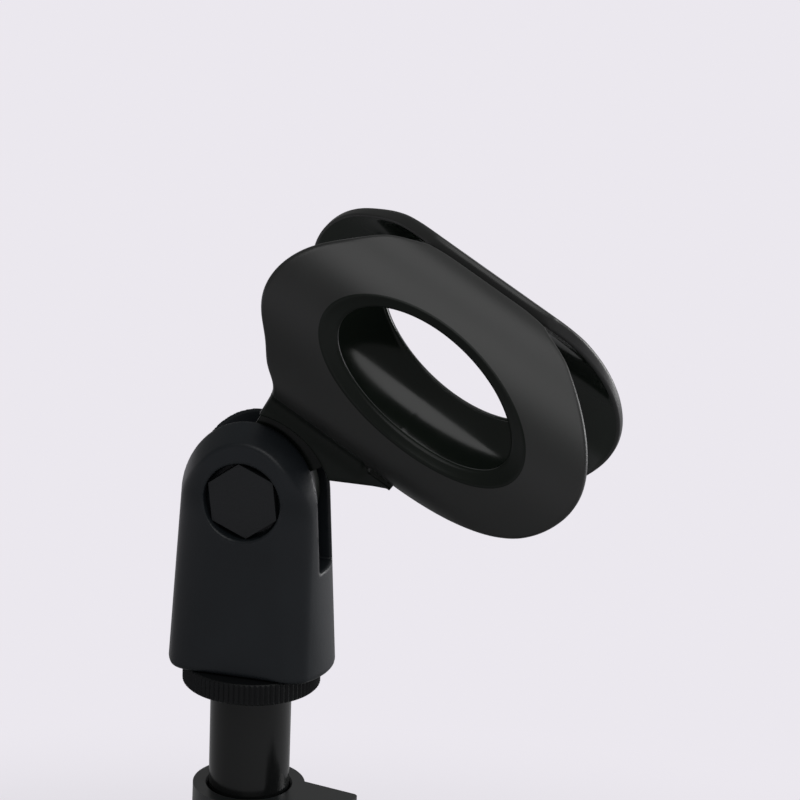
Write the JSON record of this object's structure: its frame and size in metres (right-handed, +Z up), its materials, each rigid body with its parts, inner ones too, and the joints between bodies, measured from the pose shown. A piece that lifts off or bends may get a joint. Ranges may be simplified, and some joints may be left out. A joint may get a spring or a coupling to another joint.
{
  "type": "desktop microphone stand",
  "caption": "Desktop microphone stand: round weighted base, telescoping tubes with a height clamp, and a forked yoke with a knurled lock ring that carries a tilting oval clip.",
  "frame": {"origin": "on the table, on the axis of the tubes, at the middle of the base", "axes": "+Z up along the tubes; the clip leans down towards +X; the bolt head of the pivot faces -Y"},
  "size_m": [0.156, 0.156, 0.2862],
  "materials": {
    "clip_plastic": "satin black",
    "yoke_plastic": "satin black with a fine grain",
    "ring_plastic": "black, knurled",
    "knob_plastic": "satin black",
    "collar_plastic": "satin black",
    "bolt_black": "black with a fine grain",
    "tube_black": "smooth gloss black",
    "base_black": "black powder coat",
    "rubber": "matte",
    "zinc_steel": "zinc plated",
    "brass": "machined",
    "nylon": "natural",
    "fibre": "matte"
  },
  "bodies": {
    "stand": {"base_plate": "base_black", "rubber_foot_1": "rubber", "rubber_foot_2": "rubber", "rubber_foot_3": "rubber", "rubber_foot_4": "rubber", "base_washer": "zinc_steel", "base_bolt": "zinc_steel", "tube_plug": "zinc_steel", "lower_tube": "tube_black", "clamp_collar": "collar_plastic", "screw_insert": "brass"},
    "clamp_pad": {"pressure_pad": "nylon"},
    "clamp_screw": {"thumb_screw": "zinc_steel", "thumb_knob": "knob_plastic"},
    "mast": {"upper_tube": "tube_black", "tube_end_bush": "nylon", "thread_stud": "zinc_steel"},
    "ring": {"lock_ring": "ring_plastic"},
    "fork": {"yoke_insert": "brass", "yoke": "yoke_plastic", "pivot_bolt": "bolt_black", "pivot_nut": "zinc_steel", "friction_washer_near": "fibre", "friction_washer_far": "fibre"},
    "clip": {"clip": "clip_plastic"}
  },
  "joints": [
    {"name": "height", "type": "slide", "parent": "stand", "child": "mast", "axis": [0, 0, 1], "range_m": [-0.021, 0.059]},
    {"name": "clamp_screw_turn", "type": "hinge", "parent": "clamp_pad", "child": "clamp_screw", "pos_m": [0, 0, 0.157], "axis": [0.9781, -0.2079, 0], "range_deg": [0, 720]},
    {"name": "clamp_pad_travel", "type": "slide", "parent": "stand", "child": "clamp_pad", "axis": [0.9781, -0.2079, 0], "range_m": [0, 0.00201]},
    {"name": "lock_ring_turn", "type": "hinge", "parent": "mast", "child": "ring", "pos_m": [0, 0, 0.19], "axis": [0, 0, 1], "range_deg": [-45, 0]},
    {"name": "yoke_swivel", "type": "hinge", "parent": "mast", "child": "fork", "pos_m": [0, 0, 0.19442], "axis": [0, 0, 1], "continuous": true},
    {"name": "clip_tilt", "type": "hinge", "parent": "fork", "child": "clip", "pos_m": [0, 0, 0.23022], "axis": [0, 1, 0], "range_deg": [-118, 44]}
  ],
  "couplings": [
    {"joint": "clamp_pad_travel", "follows": "clamp_screw_turn", "m_per_rad": 0.00015915}
  ]
}
